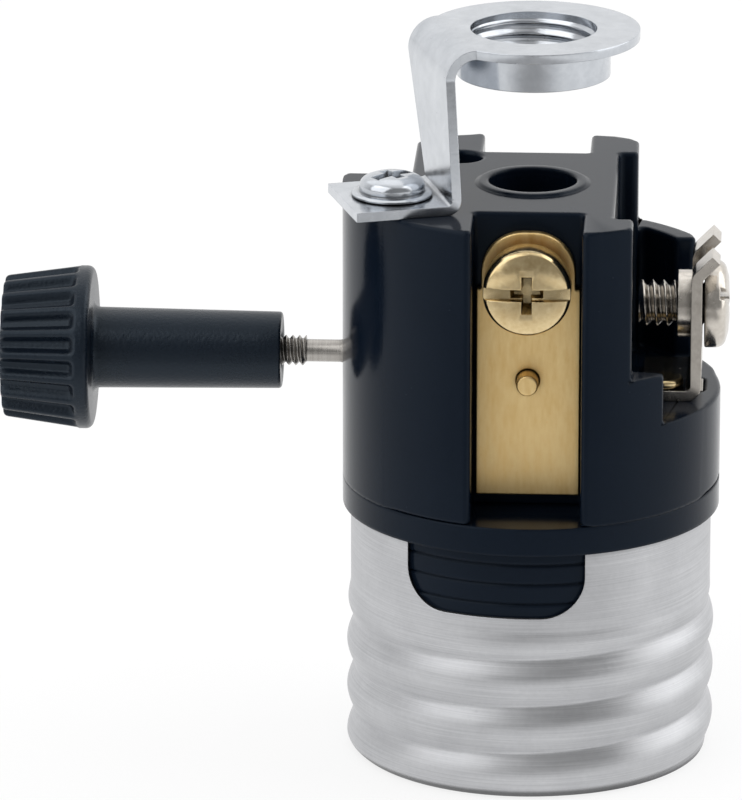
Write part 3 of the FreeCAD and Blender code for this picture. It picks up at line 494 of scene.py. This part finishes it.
def thread_tree():
    """Geometry Nodes: a tube about Z whose radius follows a helical wave that fades at its ends."""
    tree, start, end = new_group(
        "GeometryNodeTree", "helical_thread",
        [("Root Radius", "NodeSocketFloat", 0.001), ("Crest Radius", "NodeSocketFloat", 0.0012),
         ("Plain Radius", "NodeSocketFloat", 0.0011), ("Pitch", "NodeSocketFloat", 0.0008),
         ("Length", "NodeSocketFloat", 0.004), ("Crest At", "NodeSocketFloat", 0.0),
         ("Thread End", "NodeSocketFloat", 0.004), ("Runout", "NodeSocketFloat", 0.0005),
         ("Roundness", "NodeSocketFloat", 1.0), ("Fullness", "NodeSocketFloat", 1.0),
         ("Rim Curl", "NodeSocketFloat", 0.0), ("Rim Height", "NodeSocketFloat", 0.0009),
         ("Around", "NodeSocketInt", 96), ("Along", "NodeSocketInt", 60),
         ("Material", "NodeSocketMaterial", None)],
        [("Geometry", "NodeSocketGeometry")],
    )
    grid = tree.nodes.new("GeometryNodeMeshGrid")
    grid.inputs["Size X"].default_value = 2 * math.pi
    tree.links.new(start.outputs["Length"], grid.inputs["Size Y"])
    tree.links.new(start.outputs["Around"], grid.inputs["Vertices X"])
    tree.links.new(start.outputs["Along"], grid.inputs["Vertices Y"])
    parts = tree.nodes.new("ShaderNodeSeparateXYZ")
    tree.links.new(tree.nodes.new("GeometryNodeInputPosition").outputs[0], parts.inputs[0])
    angle = parts.outputs["X"]
    half = math_node(tree, "MULTIPLY", start.outputs["Length"], 0.5)
    height = math_node(tree, "ADD", parts.outputs["Y"], half)
    climbed = math_node(tree, "SUBTRACT", height, start.outputs["Crest At"])
    turns = math_node(tree, "DIVIDE", climbed, start.outputs["Pitch"])
    turns = math_node(tree, "SUBTRACT", turns, math_node(tree, "DIVIDE", angle, 2 * math.pi))
    cosine = math_node(tree, "COSINE", math_node(tree, "MULTIPLY", turns, 2 * math.pi))
    round_wave = math_node(tree, "MULTIPLY_ADD", cosine, 0.5, 0.5)
    folded = math_node(tree, "PINGPONG", math_node(tree, "ADD", turns, 0.5), 0.5)
    sharp_wave = math_node(tree, "MULTIPLY", folded, 2.0)
    wave = between_values(tree, start.outputs["Roundness"], sharp_wave, round_wave)
    rise = math_node(tree, "SUBTRACT", start.outputs["Crest Radius"], start.outputs["Root Radius"])
    full = math_node(tree, "POWER", wave, start.outputs["Fullness"])
    thread_radius = math_node(tree, "MULTIPLY_ADD", full, rise, start.outputs["Root Radius"])
    left = math_node(tree, "SUBTRACT", start.outputs["Thread End"], height)
    left = math_node(tree, "DIVIDE", left, start.outputs["Runout"], clamp=True)
    blend = math_node(tree, "SMOOTH_MIN", left, 1.0, 0.3)
    radius = between_values(tree, blend, start.outputs["Plain Radius"], thread_radius)
    climb = math_node(tree, "DIVIDE", height, start.outputs["Rim Height"])
    curl = math_node(tree, "SUBTRACT", 1.0, climb, clamp=True)
    curl = math_node(tree, "MULTIPLY", math_node(tree, "MULTIPLY", curl, curl), start.outputs["Rim Curl"])
    radius = math_node(tree, "SUBTRACT", radius, curl)
    join = tree.nodes.new("ShaderNodeCombineXYZ")
    tree.links.new(math_node(tree, "MULTIPLY", radius, math_node(tree, "COSINE", angle)), join.inputs["X"])
    tree.links.new(math_node(tree, "MULTIPLY", radius, math_node(tree, "SINE", angle)), join.inputs["Y"])
    tree.links.new(height, join.inputs["Z"])
    move = tree.nodes.new("GeometryNodeSetPosition")
    tree.links.new(grid.outputs["Mesh"], move.inputs["Geometry"])
    tree.links.new(join.outputs[0], move.inputs["Position"])
    merge = tree.nodes.new("GeometryNodeMergeByDistance")
    merge.inputs["Distance"].default_value = MERGE_DISTANCE
    tree.links.new(move.outputs[0], merge.inputs["Geometry"])
    finish_tree(tree, merge.outputs[0], start, end)
    return tree


THREAD = thread_tree()


def grown(name, tree, mesh=None, **values):
    """The plain mesh that a Geometry Nodes tree makes, alone or from a mesh, with its named inputs set."""
    seed = linked_object(name, bpy.data.meshes.new(name) if mesh is None else mesh)
    modifier = seed.modifiers.new("grow", "NODES")
    modifier.node_group = tree
    sockets = {item.name: item.identifier for item in tree.interface.items_tree if item.in_out == "INPUT"}
    for label, value in values.items():
        modifier[sockets[label.replace("_", " ")]] = value
    return evaluated_mesh(seed)


def outward(mesh):
    """Make a closed mesh's faces point outwards."""
    work = bmesh.new()
    work.from_mesh(mesh)
    bmesh.ops.recalc_face_normals(work, faces=work.faces)
    work.to_mesh(mesh)
    work.free()
    return mesh


# ------------------------------------------------------------------ screw shell
def screw_shell():
    """Rolled shell: a helical wave with a curled rim, its wall and the front window."""
    outer = grown(
        "shell_surface", THREAD, Root_Radius=ROOT_RADIUS, Crest_Radius=CREST_RADIUS,
        Plain_Radius=PLAIN_RADIUS, Pitch=THREAD_PITCH, Length=SHELL_LENGTH, Crest_At=FIRST_CREST,
        Thread_End=THREAD_END, Runout=2.2 * MM, Roundness=1.0, Fullness=0.6, Rim_Curl=0.4 * MM,
        Rim_Height=0.9 * MM, Around=257, Along=190, Material=FINISHES["aluminium"],
    )
    piece = linked_object("shell_work", outer)
    wall = piece.modifiers.new("wall", "SOLIDIFY")
    wall.thickness = SHELL_WALL
    wall.offset = -1.0
    opening = linked_object("window_tool", window_tool())
    cut = piece.modifiers.new("window", "BOOLEAN")
    cut.object = opening
    cut.operation = "DIFFERENCE"
    cut.solver = "EXACT"
    mesh = evaluated_mesh(piece)
    bpy.data.objects.remove(opening)
    smooth_by_angle(mesh, SHARP_ANGLE)
    add_piece("screw_shell_rolled", mesh, "aluminium", "holder", ["screw_shell"])


def window_tool():
    """The window's outline, with round lower corners, pushed through the wall."""
    half = WINDOW_WIDTH / 2
    inset = half - WINDOW_CORNER
    top = SHELL_LENGTH + 1.0 * MM
    corner_height = SHELL_LENGTH - WINDOW_DEPTH + WINDOW_CORNER
    outline = [(half, top)]
    outline += arc((inset, corner_height), WINDOW_CORNER, 0, -90, 12)
    outline += arc((-inset, corner_height), WINDOW_CORNER, -90, -180, 12)
    outline.append((-half, top))
    work = bmesh.new()
    inside, outside = -0.5 * CREST_RADIUS, -1.3 * CREST_RADIUS
    near = [work.verts.new((x, inside, z)) for x, z in outline]
    far = [work.verts.new((x, outside, z)) for x, z in outline]
    work.faces.new(near)
    work.faces.new(far[::-1])
    for index in range(len(outline)):
        following = (index + 1) % len(outline)
        work.faces.new((near[following], near[index], far[index], far[following]))
    bmesh.ops.recalc_face_normals(work, faces=work.faces)
    bmesh.ops.rotate(work, verts=work.verts, cent=(0, 0, 0),
                     matrix=Matrix.Rotation(math.radians(WINDOW_TURN), 3, "Z"))
    return new_mesh("window_tool", work)


# ------------------------------------------------------------------ turned shapes
def lathe(profile, steps):
    """A mesh turned about Z from (radius, height) points in millimetres; ends on the axis close it."""
    work = bmesh.new()
    rings = []
    for radius, height in profile:
        count = steps if radius > 0 else 1
        rings.append([
            work.verts.new((radius * MM * math.cos(2 * math.pi * step / count),
                            radius * MM * math.sin(2 * math.pi * step / count), height * MM))
            for step in range(count)
        ])
    if profile[0][0] > 0:
        rings.append(rings[0])
    for low, high in zip(rings, rings[1:]):
        for step in range(steps):
            corners = [low[step % len(low)], low[(step + 1) % len(low)],
                       high[(step + 1) % len(high)], high[step % len(high)]]
            work.faces.new(list(dict.fromkeys(corners)))
    bmesh.ops.recalc_face_normals(work, faces=work.faces)
    return new_mesh("turned", work)


def joined(*meshes):
    """Several meshes as one."""
    work = bmesh.new()
    for mesh in meshes:
        work.from_mesh(mesh)
    return new_mesh("joined", work)


def closed(mesh):
    """Fill a mesh's open ends and make its faces point outwards."""
    work = bmesh.new()
    work.from_mesh(mesh)
    bmesh.ops.holes_fill(work, edges=[edge for edge in work.edges if edge.is_boundary], sides=0)
    bmesh.ops.recalc_face_normals(work, faces=work.faces)
    work.to_mesh(mesh)
    work.free()
    return mesh


def arc(centre, radius, first, last, count=6):
    """Points of a rounded corner in a flat outline, angles in degrees."""
    points = []
    for step in range(count + 1):
        turn = math.radians(first + (last - first) * step / count)
        points.append((centre[0] + radius * math.cos(turn), centre[1] + radius * math.sin(turn)))
    return points


def less(mesh, tool_mesh, edge_width=0.0):
    """A mesh with another one cut away, and its sharp edges eased."""
    piece = linked_object("work", mesh)
    tool = linked_object("tool", tool_mesh)
    cut = piece.modifiers.new("cut", "BOOLEAN")
    cut.object = tool
    cut.operation = "DIFFERENCE"
    cut.solver = "EXACT"
    cut.use_self = True
    if edge_width:
        ease = piece.modifiers.new("ease", "BEVEL")
        ease.width = edge_width
        ease.segments = 2
        ease.limit_method = "ANGLE"
        ease.angle_limit = math.radians(SHARP_ANGLE)
    result = evaluated_mesh(piece)
    bpy.data.objects.remove(tool)
    return result


def thread(major, minor, pitch, length):
    """A closed length of cut thread from zero upwards; radii and lengths in millimetres."""
    rows_a_turn = 14
    mesh = grown(
        "thread", THREAD, Root_Radius=minor * MM, Crest_Radius=major * MM, Plain_Radius=minor * MM,
        Pitch=pitch * MM, Length=length * MM, Crest_At=0.0, Thread_End=(length + 2 * pitch) * MM,
        Runout=pitch * MM, Roundness=0.4, Rim_Curl=0.0, Rim_Height=1.0 * MM, Around=65,
        Along=max(12, int(length / pitch * rows_a_turn)), Material=FINISHES["nickel"],
    )
    return closed(mesh)


# ------------------------------------------------------------------ screws
def recess_tool(height, slot_length, cross_span):
    """A slot across the head and a tapered cross in its middle, as one cutting mesh."""
    slot = (slot_length, 0.9, 1.8)
    cross_arm = (cross_span, 1.0, 3.4)
    straight, tapered = (1.0, 1.0), (0.45, 0.6)
    middle = height + 0.2
    work = bmesh.new()
    for size, foot, turn in ((slot, straight, 0), (cross_arm, tapered, 0), (cross_arm, tapered, 90)):
        made = bmesh.ops.create_cube(work, size=1.0)["verts"]
        for vert in made:
            along, across = foot if vert.co.z < 0 else straight
            vert.co = Vector((vert.co.x * size[0] * along, vert.co.y * size[1] * across,
                              vert.co.z * size[2] + middle)) * MM
        bmesh.ops.rotate(work, verts=made, cent=(0, 0, 0), matrix=Matrix.Rotation(math.radians(turn), 3, "Z"))
    return new_mesh("recess", work)


def screw(node, name, finish, head, shank, turn, place, slot_length=16.0):
    """A screw with a rounded head, a combined slot and cross, and a cut thread.

    head is its radius, height and rounded edge; shank is its crest radius, root radius, pitch and
    length, all in millimetres. place is the middle of the head's underside, in metres. The usual
    slot runs right across the head.
    """
    radius, height, edge = head
    major, minor, pitch, length = shank
    dome = 0.12 * height
    foot = 0.12
    profile = [(0, 0), (radius - 0.1, 0)] + arc((radius - foot, foot), foot, -90, 0, 3)
    profile += arc((radius - edge, height - dome - edge), edge, 0, 72, 14)
    profile += [(radius * 0.62, height - dome * 0.35), (radius * 0.3, height - dome * 0.08), (0, height)]
    solid = less(lathe(profile, 128), recess_tool(height, slot_length, 1.3 * radius), 0.06 * MM)
    smooth_by_angle(solid, TURNED_ANGLE)
    into_head = 0.2
    body = thread(major, minor, pitch, length + into_head)
    smooth_by_angle(body, THREAD_ANGLE)
    body.transform(Matrix.Translation((0, 0, -length * MM)))
    mesh = joined(solid, body)
    mesh.transform(Matrix.Translation(place) @ turn)
    return add_piece(name, mesh, finish, body_with(node), [node])


def turned(axis, degrees):
    """A rotation about one axis."""
    return Matrix.Rotation(math.radians(degrees), 4, axis)


def terminal_screws():
    """The two binding screws and the bracket's screw, in the places of the plain ones."""
    low, high, size = spread("line_terminal_screw")
    height = 2.8
    place = ((low.x + high.x) / 2, low.y + height * MM, (low.z + high.z) / 2)
    screw("line_terminal_screw", "line_binding_screw", "brass_screw", head=(3.2, height, 0.5),
          shank=(1.75, 1.4, 0.79, size.y / MM - height), turn=turned("X", 90), place=place)
    low, high, size = spread("neutral_terminal_screw")
    height = 1.85
    place = (high.x - height * MM, (low.y + high.y) / 2, (low.z + high.z) / 2)
    screw("neutral_terminal_screw", "neutral_binding_screw", "nickel", head=(3.25, height, 0.8),
          shank=(1.75, 1.32, 0.79, size.x / MM - height), turn=turned("Y", 90) @ turned("Z", 60), place=place)
    low, high, size = spread("bracket_screw")
    height = 1.6
    place = ((low.x + high.x) / 2, (low.y + high.y) / 2, high.z - height * MM)
    piece = screw("bracket_screw", "bracket_pan_screw", "zinc", head=(2.4, height, 0.7),
                  shank=(1.6, 1.25, 0.8, size.z / MM - height), turn=turned("Z", 40), place=place,
                  slot_length=3.2)
    flange = lathe([(0, 0), (2.85, 0), (2.95, 0.1), (2.95, 0.22), (2.8, 0.33), (2.2, 0.35), (0, 0.35)], 72)
    smooth_by_angle(flange, TURNED_ANGLE)
    flange.transform(Matrix.Translation(place))
    piece.data = joined(piece.data, flange)
    piece.data.materials.append(FINISHES["zinc"])


# ------------------------------------------------------------------ shaft and knob
def switch_shaft():
    """Shaft with a thin neck outside the body and a threaded end for the knob."""
    length = shaft_size.x / MM
    shoulder, thread_start = 18.7, 22.3
    thick, thin, under_thread = 1.17, 0.83, 0.9
    core_end = length - 0.3
    core = lathe([(0, 0), (thick - 0.12, 0), (thick, 0.12), (thick, shoulder), (under_thread, shoulder + 0.8),
                  (thin, shoulder + 1.1), (thin, thread_start), (under_thread, thread_start + 0.1),
                  (under_thread, core_end), (0, core_end)], 64)
    smooth_by_angle(core, 30)
    end = thread(major=1.15, minor=0.86, pitch=0.5, length=length - thread_start)
    smooth_by_angle(end, THREAD_ANGLE)
    end.transform(Matrix.Translation((0, 0, thread_start * MM)))
    mesh = joined(core, end)
    mesh.transform(Matrix.Translation((shaft_high.x, 0, SHAFT_HEIGHT)) @ turned("Y", -90))
    add_piece("switch_shaft_turned", mesh, "dark_steel", "switch", ["switch_shaft"])


def flute_tree():
    """Geometry Nodes: grooves round a turned shape, cut to a tapered floor below its surface."""
    tree, start, end = new_group(
        "GeometryNodeTree", "flutes",
        [("Geometry", "NodeSocketGeometry", None), ("Count", "NodeSocketInt", 20),
         ("Depth", "NodeSocketFloat", 0.0004), ("Width", "NodeSocketFloat", 0.0006),
         ("Start", "NodeSocketFloat", 0.0), ("Length", "NodeSocketFloat", 0.005),
         ("Fade", "NodeSocketFloat", 0.0005), ("Start Radius", "NodeSocketFloat", 0.006),
         ("End Radius", "NodeSocketFloat", 0.005), ("Material", "NodeSocketMaterial", None)],
        [("Geometry", "NodeSocketGeometry")],
    )
    parts = tree.nodes.new("ShaderNodeSeparateXYZ")
    tree.links.new(tree.nodes.new("GeometryNodeInputPosition").outputs[0], parts.inputs[0])
    x, y, z = parts.outputs
    squares = math_node(tree, "ADD", math_node(tree, "MULTIPLY", x, x), math_node(tree, "MULTIPLY", y, y))
    radius = math_node(tree, "SQRT", squares)
    angle = math_node(tree, "ARCTAN2", y, x)
    turns = math_node(tree, "DIVIDE", math_node(tree, "MULTIPLY", angle, start.outputs["Count"]), 2 * math.pi)
    phase = math_node(tree, "PINGPONG", turns, 0.5)
    across = math_node(tree, "DIVIDE", math_node(tree, "MULTIPLY", phase, start.outputs["Start Radius"]),
                       start.outputs["Count"])
    across = math_node(tree, "MULTIPLY", across, 2 * math.pi)
    width = start.outputs["Width"]
    flat_end = math_node(tree, "MULTIPLY", width, 0.2)
    wall_end = math_node(tree, "MULTIPLY", width, 0.75)
    inside = math_node(tree, "SUBTRACT", 1.0, eased_step(tree, across, flat_end, wall_end))
    along = math_node(tree, "SUBTRACT", z, start.outputs["Start"])
    inside = math_node(tree, "MULTIPLY", inside, eased_step(tree, along, 0.0, start.outputs["Fade"]))
    share = math_node(tree, "DIVIDE", along, start.outputs["Length"], clamp=True)
    surface = between_values(tree, share, start.outputs["Start Radius"], start.outputs["End Radius"])
    bottom = math_node(tree, "SUBTRACT", surface, start.outputs["Depth"])
    over = math_node(tree, "MAXIMUM", math_node(tree, "SUBTRACT", radius, bottom), 0.0)
    fall = math_node(tree, "DIVIDE", math_node(tree, "MULTIPLY", over, inside),
                     math_node(tree, "MAXIMUM", radius, 1e-6))
    scale = math_node(tree, "SUBTRACT", 1.0, fall)
    join = tree.nodes.new("ShaderNodeCombineXYZ")
    tree.links.new(math_node(tree, "MULTIPLY", x, scale), join.inputs["X"])
    tree.links.new(math_node(tree, "MULTIPLY", y, scale), join.inputs["Y"])
    tree.links.new(z, join.inputs["Z"])
    move = tree.nodes.new("GeometryNodeSetPosition")
    tree.links.new(start.outputs["Geometry"], move.inputs["Geometry"])
    tree.links.new(join.outputs[0], move.inputs["Position"])
    finish_tree(tree, move.outputs[0], start, end)
    return tree


FLUTES = flute_tree()


def between(first, last, count):
    """Points along a straight run of a profile, without its first point."""
    return [(first[0] + (last[0] - first[0]) * step / count, first[1] + (last[1] - first[1]) * step / count)
            for step in range(1, count + 1)]


def knob():
    """Knob with a tapered stem, a rounded flange and a grip with rounded ribs."""
    length = KNOB_LENGTH / MM
    bore, bore_depth = 1.25, 7.0
    stem_tip, stem_root, tip_edge = 2.84, 3.0, 0.22
    seat, flange, flange_edge = 14.0, 6.05, 0.5
    grip_start, grip_end, grip_edge = seat + 1.0, 5.25, 0.35
    profile = [(0, bore_depth), (bore, bore_depth), (bore, 0.3), (bore + 0.2, 0.05), (2.6, 0.0)]
    profile += arc((stem_tip - tip_edge, tip_edge), tip_edge, -90, 0, 4)
    profile += between((stem_tip, tip_edge), (stem_root, seat - flange_edge), 8)
    profile += arc((stem_root + flange_edge, seat - flange_edge), flange_edge, 180, 90, 5)
    profile += arc((flange - flange_edge, seat + flange_edge), flange_edge, -90, 0, 6)
    profile += between((flange, seat + flange_edge), (flange, grip_start), 4)
    profile += between((flange, grip_start), (grip_end + 0.06, length - grip_edge), 34)
    profile += arc((grip_end - 0.3, length - grip_edge), grip_edge, 0, 90, 6)
    profile += between((grip_end - 0.3, length), (4.3, length), 3)
    profile += [(4.0, length - 0.12), (2.0, length - 0.16), (0, length - 0.16)]
    mesh = grown(
        "ribbed_knob", FLUTES, lathe(profile, 480), Count=20, Depth=0.6 * MM, Width=1.1 * MM,
        Start=grip_start * MM, Length=(length - grip_start) * MM, Fade=0.5 * MM,
        Start_Radius=flange * MM, End_Radius=grip_end * MM, Material=FINISHES["knob"],
    )
    smooth_by_angle(mesh, 50)
    mesh.transform(Matrix.Translation((KNOB_SEAT, 0, SHAFT_HEIGHT)) @ turned("Y", -90))
    add_piece("knob_ribbed", mesh, "knob", "knob", ["knob"])


# ------------------------------------------------------------------ small parts of the holder
def base_disc():
    """Disc with eased edges and three shallow grooves round its skirt."""
    skirt = PLAIN_RADIUS / MM - 0.45
    depth, outside, half_height = 0.08, 0.4, 0.3
    rings = []
    for height in (18.0, 16.5, 15.0):
        rings.append(lathe([(skirt - depth, height), (skirt + outside, height - half_height),
                            (skirt + outside, height + half_height)], 128))
    mesh = flat_faced(less(eased_copy("base_disc", 0.25 * MM), joined(*rings)))
    add_piece("base_disc_moulded", mesh, "phenolic", "holder", ["base_disc"])


def tower_rim():
    """Low raised rim round the hole in the top of the body."""
    top = BODY_TOP / MM
    hole, outside = 3.25, 4.3
    profile = [(hole, -0.6), (hole, 0.1)] + arc((hole + 0.1, 0.1), 0.1, 180, 90, 3)
    profile += arc((3.9, 0.05), 0.15, 90, 10, 4) + [(outside, 0.0), (outside, -0.3)]
    mesh = lathe([(radius, top + height) for radius, height in profile], 96)
    smooth_by_angle(mesh, TURNED_ANGLE)
    add_piece("tower_hole_rim", mesh, "phenolic", "holder")


def ring_thread():
    """Thread inside the bracket's drawn collar, a thin sleeve that stands out into the bore."""
    length = 3.4
    tube = grown(
        "ring_thread", THREAD, Root_Radius=4.38 * MM, Crest_Radius=4.7 * MM, Plain_Radius=4.7 * MM,
        Pitch=0.94 * MM, Length=(length - 0.2) * MM, Crest_At=0.0, Thread_End=(length - 0.5) * MM,
        Runout=0.5 * MM, Roundness=0.3, Rim_Curl=0.0, Rim_Height=1.0 * MM, Around=129, Along=72,
        Material=FINISHES["zinc"],
    )
    piece = linked_object("thread_work", tube)
    wall = piece.modifiers.new("wall", "SOLIDIFY")
    wall.thickness = 0.4 * MM
    wall.offset = 1.0
    mesh = outward(evaluated_mesh(piece))
    smooth_by_angle(mesh, 60)
    mesh.transform(Matrix.Translation((0, 0, BRACKET_TOP - (length - 0.1) * MM)))
    add_piece("bracket_ring_thread", mesh, "zinc", "holder")


screw_shell()
base_disc()
dress("upper_body", 0.3 * MM, clamped=False)
tower_rim()
dress("bracket", 0.2 * MM)
ring_thread()
terminal_screws()
dress("line_terminal_plate", 0.12 * MM)
dress("line_terminal_pin", 0.2 * MM)
dress("neutral_terminal_plate", 0.15 * MM)
dress("neutral_terminal_rivet", 0.25 * MM)
switch_shaft()
knob()
for name, cad_object in nodes_in_frame.items():
    cad_object.data.materials.clear()
    cad_object.data.materials.append(FINISHES[NODE_FINISH[name]])


# ------------------------------------------------------------------ floor, light and camera
def seen_or_reflected(path):
    """1 where a ray comes from the camera, a reflection or a transmission."""
    either = math_node(path.id_data, "MAXIMUM", path.outputs["Is Camera Ray"], path.outputs["Is Glossy Ray"])
    return math_node(path.id_data, "MAXIMUM", either, path.outputs["Is Transmission Ray"])


def floor():
    """A white floor that keeps the object's shadow; reflections find it dimmer in front."""
    mesh = bpy.data.meshes.new("floor")
    reach = 4.0
    corners = [(-reach, -reach, 0), (reach, -reach, 0), (reach, reach, 0), (-reach, reach, 0)]
    mesh.from_pydata(corners, [], [(0, 1, 2, 3)])
    sheet = linked_object("floor", mesh)
    material = bpy.data.materials.new("pale_floor")
    material.use_nodes = True
    tree = material.node_tree
    shader = tree.nodes["Principled BSDF"]
    shader.inputs["Base Color"].default_value = (0.96, 0.96, 0.96, 1)
    shader.inputs["Roughness"].default_value = 0.9
    shader.inputs["Specular IOR Level"].default_value = 0.0
    glow = tree.nodes.new("ShaderNodeEmission")
    glow.inputs["Color"].default_value = (1, 1, 1, 1)
    mix = tree.nodes.new("ShaderNodeMixShader")
    place = tree.nodes.new("ShaderNodeSeparateXYZ")
    tree.links.new(tree.nodes.new("ShaderNodeNewGeometry").outputs["Position"], place.inputs[0])
    away = eased_step(tree, place.outputs["Y"], -0.03, -0.1)
    aside = eased_step(tree, math_node(tree, "ABSOLUTE", place.outputs["X"]), 0.16, 0.03)
    path = tree.nodes.new("ShaderNodeLightPath")
    in_front = math_node(tree, "MULTIPLY", away, aside)
    dimmed = math_node(tree, "MULTIPLY", in_front, path.outputs["Is Glossy Ray"])
    tree.links.new(math_node(tree, "MULTIPLY_ADD", dimmed, -0.7, 1.0), glow.inputs["Strength"])
    glow_share = 0.8
    share = math_node(tree, "MULTIPLY", seen_or_reflected(path), glow_share)
    tree.links.new(share, mix.inputs["Fac"])
    tree.links.new(shader.outputs[0], mix.inputs[1])
    tree.links.new(glow.outputs[0], mix.inputs[2])
    tree.links.new(mix.outputs[0], tree.nodes["Material Output"].inputs["Surface"])
    mesh.materials.append(material)


def world():
    """White behind the object; the side that faces it from the front is dimmer."""
    scene_world = bpy.data.worlds.new("studio")
    bpy.context.scene.world = scene_world
    scene_world.use_nodes = True
    tree = scene_world.node_tree
    background = tree.nodes["Background"]
    way = tree.nodes.new("ShaderNodeSeparateXYZ")
    tree.links.new(tree.nodes.new("ShaderNodeTexCoord").outputs["Generated"], way.inputs[0])
    glow = in_range(tree, way.outputs["Y"], (-0.5, 0.5), (0.3, 1.0))
    path = tree.nodes.new("ShaderNodeLightPath")
    plain = math_node(tree, "MAXIMUM", path.outputs["Is Camera Ray"], path.outputs["Is Transmission Ray"])
    tree.links.new(between_values(tree, plain, glow, 1.0), background.inputs["Strength"])
    background.inputs["Color"].default_value = (1, 1, 1, 1)


def softbox(name, place, size, power, aim):
    """A rectangular area light that faces a point."""
    data = bpy.data.lights.new(name, "AREA")
    data.shape = "RECTANGLE"
    data.size, data.size_y = size
    data.energy = power
    lamp = linked_object(name, data)
    lamp.location = place
    lamp.rotation_euler = (Vector(aim) - Vector(place)).to_track_quat("-Z", "Y").to_euler()


def camera():
    """A long lens a little right of the front and above it."""
    azimuth = math.radians(3.0)
    elevation = math.radians(17.5)
    distance = 0.6
    left = 11.9 * MM
    aim = Vector((-left * math.cos(azimuth), -left * math.sin(azimuth), 26.6 * MM))
    flat = math.cos(elevation)
    back = Vector((math.sin(azimuth) * flat, -math.cos(azimuth) * flat, math.sin(elevation)))
    data = bpy.data.cameras.new("camera")
    data.lens = 364.0
    data.sensor_width = 36.0
    data.clip_start = 0.01
    data.clip_end = 20.0
    eye = linked_object("camera", data)
    eye.location = aim + back * distance
    eye.rotation_euler = (-back).to_track_quat("-Z", "Y").to_euler()
    bpy.context.scene.camera = eye


floor()
world()
middle = (0, 0, 28 * MM)
softbox("key", (-0.42, -0.35, 0.42), (0.7, 0.8), 2.2, middle)
softbox("rim", (0.45, 0.05, 0.25), (0.5, 0.8), 1.4, middle)
softbox("top", (0.0, 0.1, 0.6), (1.1, 1.0), 1.2, middle)
camera()
bpy.context.scene.view_settings.view_transform = "Standard"
